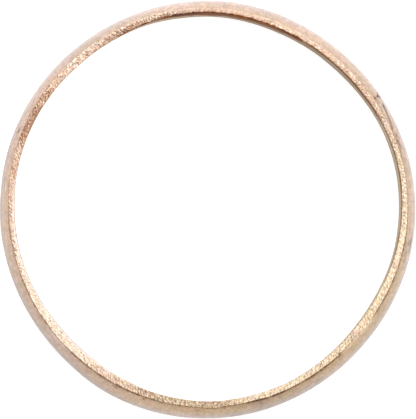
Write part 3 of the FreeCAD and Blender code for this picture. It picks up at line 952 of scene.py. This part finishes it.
def worn_metal(name, solder=False):
    g_ = Graph(name)
    rim, bore, pits, high = g_.attr("a_rim"), g_.attr("a_bore"), g_.attr("a_pit"), g_.attr("a_grain_highlight")
    line_, brown_, copper_ = g_.attr("a_line"), g_.attr("a_brown"), g_.attr("a_copper")
    pale_, yellow_, painted_light_ = g_.attr("a_pale"), g_.attr("a_yellow"), g_.attr("a_painted_light")
    crest_sheen_, cool_, far_shade_ = g_.attr("a_crest_sheen"), g_.attr("a_cool"), g_.attr("a_far_shade")
    umber_, soot_, joint_ = g_.attr("a_umber"), g_.attr("a_soot"), g_.attr("a_joint")
    thin_, pale_highlight_, shade_ = g_.attr("a_thin"), g_.attr("a_pale_highlight"), g_.attr("a_shade")

    blotch = g_.noise((0.55, 0.55, 0.9), 4.0, 0.6)
    olive = g_.noise((2.6, 2.6, 1.7), 3.0, 0.55, 0.4)
    rosy = g_.noise((3.4, 3.4, 2.1), 3.0, 0.55, 0.4)
    cloud = g_.noise((2.2, 2.2, 3.5), 4.0, 0.6)
    lines = g_.noise((1.1, 1.1, 26.0), 3.0, 0.6)            # polishing lines that run round the dome
    fine = g_.noise((3.0, 3.0, 75.0), 2.0, 0.6)
    speck = g_.noise((15.0, 15.0, 15.0), 3.0, 0.6)
    fleck = g_.noise((9.0, 9.0, 9.0), 2.0, 0.5)
    mottle = g_.noise((3.6, 3.6, 2.8), 2.0, 0.5)
    grit = g_.noise((8.5, 8.5, 6.0), 2.0, 0.55)
    warm = g_.noise((4.6, 4.6, 3.4), 2.0, 0.55)
    cold = g_.noise((5.2, 5.2, 3.8), 2.0, 0.55)
    tint = g_.noise((10.5, 10.5, 8.0), 2.0, 0.55)
    # the brown band in the bore breaks up at its edges
    ragged_noise = g_.noise((1.5, 1.5, 1.5), 5.0, 0.62)
    brown_ = g_.ramp(g_.math("ADD", brown_, g_.math("MULTIPLY", g_.math("SUBTRACT", ragged_noise, 0.5), 1.4)), 0.28, 0.68)
    thin_ = g_.math("MULTIPLY", thin_, g_.ramp(ragged_noise, 0.30, 0.50, 0.75, 1.0))
    thinner = g_.noise((1.5, 1.5, 1.7), 4.0, 0.6)
    thicker = g_.noise((1.7, 1.7, 2.4), 4.0, 0.6)

    # dome
    skin = g_.mix(yellow_, PINK, TAN)
    skin = g_.mix(g_.math("MULTIPLY", g_.ramp(blotch, 0.40, 0.65), 0.25), skin, (0.66, 0.49, 0.35))
    skin = g_.mix(g_.math("MULTIPLY", g_.ramp(olive, 0.48, 0.70), 0.45), skin, (0.52, 0.45, 0.27))
    skin = g_.mix(g_.math("MULTIPLY", g_.ramp(rosy, 0.50, 0.70), 0.42), skin, (0.64, 0.41, 0.37))
    # painted sheen on the crest
    skin = g_.mix(g_.math("MULTIPLY", crest_sheen_, 0.70), skin, CREST_SHEEN)
    # painted light: the dome lighter towards the top, darker towards the bottom
    skin = g_.mix(1.0, skin, painted_light_, "MULTIPLY")
    skin = g_.mix(g_.math("MULTIPLY", g_.ramp(cloud, 0.45, 0.72), 0.22), skin, (0.38, 0.28, 0.21))
    skin = g_.mix(g_.math("MULTIPLY", g_.ramp(lines, 0.50, 0.72), 0.20), skin, (0.36, 0.25, 0.19))
    skin = g_.mix(g_.math("MULTIPLY", g_.ramp(fleck, 0.55, 0.75), 0.16), skin, (0.30, 0.20, 0.16))
    skin = g_.mix(g_.math("MULTIPLY", cool_, 0.6), skin, (0.40, 0.31, 0.30))
    # painted shade beside the step at the bottom
    skin = g_.mix(g_.math("MULTIPLY", g_.attr("a_step_shade"), 0.22), skin, (0.42, 0.24, 0.11))
    shade = g_.math("MULTIPLY", g_.around_one(mottle, 0.55), g_.around_one(grit, 0.80))
    hue = g_.n.new("ShaderNodeCombineColor")
    g_.l.new(g_.math("MULTIPLY", shade, g_.around_one(warm, 0.26)), hue.inputs[0])
    g_.l.new(shade, hue.inputs[1])
    g_.l.new(g_.math("MULTIPLY", shade, g_.around_one(cold, 0.42)), hue.inputs[2])
    skin = g_.mix(1.0, skin, hue.outputs[0], "MULTIPLY")

    # filed rim: its finest marks follow the file and are too small for the mesh
    plane = g_.unrolled()
    lean_, torn_, rough_ = g_.attr("a_lean"), g_.attr("a_torn"), g_.attr("a_rough")
    one_way = g_.streaks(plane, -46.0, 5.0, 18.0)
    other = g_.streaks(plane, 52.0, 5.0, 17.0)
    crumbs = g_.streaks(plane, 24.0, 10.0, 13.5, 2.0)
    scratch = g_.math("ADD", g_.math("MULTIPLY", one_way, g_.math("SUBTRACT", 1.0, lean_)), g_.math("MULTIPLY", other, lean_))
    marks = g_.math("ADD", g_.math("MULTIPLY", scratch, g_.math("SUBTRACT", 1.0, torn_)), g_.math("MULTIPLY", crumbs, torn_))

    cut_ = g_.mix(g_.ramp(yellow_, 0.1, 0.9), PEACH, GOLD)
    cut_ = g_.mix(g_.math("MULTIPLY", pale_, 0.80, clamp=True), cut_, CREAM)
    cut_ = g_.mix(g_.ramp(copper_, 0.10, 0.95), cut_, COPPER)
    # painted highlights on the raised grain and on the rim's lit edge
    cut_ = g_.mix(g_.math("MULTIPLY", g_.ramp(high, 0.15, 1.0), 0.42), cut_, (0.92, 0.82, 0.67))
    # painted shade in the grain's hollows, with the metal's own brown tears
    cut_ = g_.mix(g_.math("MULTIPLY", g_.ramp(pits, 0.05, 1.0), 0.60), cut_, (0.26, 0.135, 0.080))
    # the file marks are painted in light and dark streaks: painted glints and painted shade in the grain
    cut_ = g_.mix(g_.math("MULTIPLY", g_.ramp(marks, 0.36, 0.50, 0.75, 0.0), rough_, clamp=True), cut_, (0.92, 0.82, 0.67))
    cut_ = g_.mix(g_.math("MULTIPLY", g_.ramp(marks, 0.50, 0.66, 0.0, 0.85), rough_, clamp=True), cut_, (0.31, 0.175, 0.120))
    cut_ = g_.mix(1.0, cut_, g_.attr("a_face"), "MULTIPLY")
    cut_ = g_.mix(g_.math("MULTIPLY", copper_, 0.55), cut_, (1.0, 0.82, 0.72), "MULTIPLY")
    rim_hue = g_.n.new("ShaderNodeCombineColor")
    g_.l.new(g_.around_one(cold, 0.06), rim_hue.inputs[0])
    g_.l.new(g_.around_one(grit, 0.14), rim_hue.inputs[1])
    g_.l.new(g_.math("MULTIPLY", g_.around_one(warm, 0.55), g_.around_one(tint, 0.60)), rim_hue.inputs[2])
    cut_ = g_.mix(1.0, cut_, rim_hue.outputs[0], "MULTIPLY")
    # the rim's inner part darker and redder, at the top painted shade
    cut_ = g_.mix(g_.math("MULTIPLY", g_.attr("a_inner_dark"), 0.75, clamp=True), cut_, (0.345, 0.178, 0.118))
    cut_ = g_.mix(g_.attr("a_orange"), cut_, (0.95, 0.46, 0.22))
    # painted light on the lower left inner edge, and painted highlights
    cut_ = g_.mix(pale_highlight_, cut_, (0.93, 0.82, 0.78))

    # bore
    inside = g_.mix(g_.ramp(cloud, 0.30, 0.75, 0.20, 0.75), WALL, (0.40, 0.30, 0.19))
    # painted shade at the bore's far edge
    inside = g_.mix(g_.math("MULTIPLY", far_shade_, 0.8, clamp=True), inside, (0.33, 0.31, 0.29))
    # painted shade at the upper right of the bore, painted light at the upper left
    inside = g_.mix(g_.math("MULTIPLY", shade_, 0.45, clamp=True), inside, (0.20, 0.135, 0.085))
    inside = g_.mix(g_.math("MULTIPLY", shade_, -0.8, clamp=True), inside, (0.90, 0.78, 0.68))

    colour = g_.mix(rim, skin, cut_)
    colour = g_.mix(bore, colour, inside)
    colour = g_.mix(g_.math("MULTIPLY", thin_, 1.0, clamp=True), colour, OLIVE)
    # the brown band: painted shade, partly the metal's own brown
    inner_dark = g_.mix(g_.ramp(thinner, 0.40, 0.66, 0.0, 0.65), BROWN, (0.290, 0.125, 0.045))
    inner_dark = g_.mix(g_.math("MULTIPLY", g_.attr("a_deep"), g_.ramp(thicker, 0.38, 0.62, 0.0, 0.80), clamp=True), inner_dark, (0.098, 0.026, 0.005))
    inner_dark = g_.mix(g_.math("MULTIPLY", g_.attr("a_darkest_brown"), 1.0, clamp=True), inner_dark, (0.098, 0.024, 0.004))
    colour = g_.mix(g_.math("MULTIPLY", brown_, 1.0, clamp=True), colour, inner_dark)
    colour = g_.mix(g_.math("MULTIPLY", line_, 1.20, clamp=True), colour, LINE)
    colour = g_.mix(g_.math("MULTIPLY", umber_, 0.90, clamp=True), colour, UMBER)
    colour = g_.mix(g_.math("MULTIPLY", joint_, 0.95, clamp=True), colour, JOINT)
    colour = g_.mix(g_.math("MULTIPLY", soot_, 1.0, clamp=True), colour, SOOT)
    colour = g_.mix(g_.attr("a_glint"), colour, (0.9, 0.86, 0.84))
    if solder:
        colour = g_.mix(0.20, colour, (0.34, 0.28, 0.24))

    rgh = g_.math("ADD", 0.36, g_.math("MULTIPLY", rim, -0.08))
    rgh = g_.math("ADD", rgh, g_.ramp(cloud, 0.3, 0.75, -0.03, 0.07))
    rgh = g_.math("ADD", rgh, g_.math("MULTIPLY", bore, 0.30))
    rgh = g_.math("ADD", rgh, g_.math("MULTIPLY", pits, 0.15))
    rgh = g_.math("ADD", rgh, g_.math("MULTIPLY", brown_, 0.10))
    rgh = g_.math("ADD", rgh, g_.math("MULTIPLY", soot_, 0.25))
    rgh = g_.math("ADD", rgh, g_.math("MULTIPLY", line_, 0.25), clamp=True)

    metal = g_.math("SUBTRACT", 1.0, g_.math("MULTIPLY", bore, 0.65))
    metal = g_.math("SUBTRACT", metal, g_.math("MULTIPLY", pale_highlight_, 0.80))
    metal = g_.math("SUBTRACT", metal, g_.math("MULTIPLY", g_.math("ADD", brown_, thin_), 0.50))
    metal = g_.math("SUBTRACT", metal, g_.math("MULTIPLY", soot_, 0.60), clamp=True)

    height = g_.math("ADD", g_.math("MULTIPLY", lines, 0.30), g_.math("MULTIPLY", fine, 0.20))
    height = g_.math("ADD", height, g_.math("MULTIPLY", speck, g_.math("ADD", 0.10, g_.math("MULTIPLY", rim, 0.8))))
    height = g_.math("SUBTRACT", height, g_.math("MULTIPLY", marks, g_.math("MULTIPLY", rough_, 1.6)))
    bump = g_.n.new("ShaderNodeBump")
    bump.inputs["Strength"].default_value = 0.7
    bump.inputs["Distance"].default_value = 7.0e-6
    g_.l.new(height, bump.inputs["Height"])

    sh = g_.n.new("ShaderNodeBsdfPrincipled")
    out = g_.n.new("ShaderNodeOutputMaterial")
    g_.l.new(colour, sh.inputs["Base Color"])
    g_.l.new(rgh, sh.inputs["Roughness"])
    g_.l.new(metal, sh.inputs["Metallic"])
    g_.l.new(bump.outputs[0], sh.inputs["Normal"])
    sh.inputs["Specular IOR Level"].default_value = 0.12
    g_.l.new(sh.outputs[0], out.inputs[0])
    return g_.m


band = bpy.data.objects.new("ring_band_worn", band_mesh)
film_ob = bpy.data.objects.new("solder_seam_film", seam_mesh)
for ob, mat, node, slot in ((band, worn_metal("worn_gilding"), "ring_band", "band_metal"),
                            (film_ob, worn_metal("hard_solder", True), "solder_seam", "solder")):
    bpy.context.scene.collection.objects.link(ob)
    ob.data.materials.append(mat)
    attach(ob, "root")
    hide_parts(node)

# ---------------------------------------------------------------------------
# Stage: pale floor, soft light, camera
# ---------------------------------------------------------------------------
floor_mesh = bpy.data.meshes.new("floor")
s_ = 1.5
floor_mesh.from_pydata([(-s_, -s_, -HALF * MM), (s_, -s_, -HALF * MM), (s_, s_, -HALF * MM), (-s_, s_, -HALF * MM)], [], [(0, 1, 2, 3)])
floor = bpy.data.objects.new("floor", floor_mesh)
bpy.context.scene.collection.objects.link(floor)
fm = bpy.data.materials.new("pale_floor")
fm.use_nodes = True
ft = fm.node_tree
pb = ft.nodes["Principled BSDF"]
pb.inputs["Base Color"].default_value = (0.86, 0.86, 0.86, 1.0)
pb.inputs["Roughness"].default_value = 0.9
pb.inputs["Specular IOR Level"].default_value = 0.1
pb.inputs["Emission Color"].default_value = (1.0, 1.0, 1.0, 1.0)
pb.inputs["Emission Strength"].default_value = 0.60
floor.data.materials.append(fm)

world = bpy.data.worlds.new("studio")
bpy.context.scene.world = world
world.use_nodes = True
bg = world.node_tree.nodes["Background"]
bg.inputs[0].default_value = (1.0, 0.995, 0.985, 1.0)
bg.inputs[1].default_value = 0.62


def softbox(name, place, size, radiance, colour=(1.0, 1.0, 1.0)):
    light = bpy.data.lights.new(name, "AREA")
    light.shape = "RECTANGLE"
    light.size, light.size_y = size
    light.energy = radiance * math.pi * size[0] * size[1]
    light.color = colour
    ob = bpy.data.objects.new(name, light)
    bpy.context.scene.collection.objects.link(ob)
    ob.location = place
    ob.rotation_euler = (Vector((0, 0, 0)) - Vector(place)).to_track_quat("-Z", "Y").to_euler()
    ob.visible_camera = False
    return ob


softbox("key", (0.02, 0.42, 0.30), (0.60, 0.36), 2.0)
softbox("top", (0.10, 0.03, 0.55), (0.34, 0.34), 1.8)
softbox("left", (-0.45, -0.05, 0.35), (0.30, 0.40), 0.6)

PIXEL = 0.0515 * MM               # one pixel of the 416 x 419 picture, at the ring
DISTANCE, TILT, TOWARD = 0.640, 3.34, 235.0
AIM = Vector((0.054 * MM, -0.086 * MM, 0.0))
t_, a_ = math.radians(TILT), math.radians(TOWARD)
cam_data = bpy.data.cameras.new("camera")
cam = bpy.data.objects.new("camera", cam_data)
bpy.context.scene.collection.objects.link(cam)
offset = Vector((math.sin(t_) * math.cos(a_), math.sin(t_) * math.sin(a_), math.cos(t_))) * DISTANCE
cam.location = AIM + offset
forward = (-offset).normalized()
up = Vector((0, 1, 0))
right = forward.cross(up).normalized()
up = right.cross(forward)
from mathutils import Matrix
rot = Matrix((right, up, -forward)).transposed()
cam.rotation_euler = rot.to_euler()
cam_data.sensor_fit = "VERTICAL"
cam_data.sensor_height = 24.0
cam_data.lens = 24.0 * DISTANCE / (419 * PIXEL)
cam_data.clip_start = 0.01
cam_data.clip_end = 10.0
bpy.context.scene.camera = cam
bpy.context.scene.view_settings.view_transform = "Standard"
bpy.context.scene.view_settings.look = "None"

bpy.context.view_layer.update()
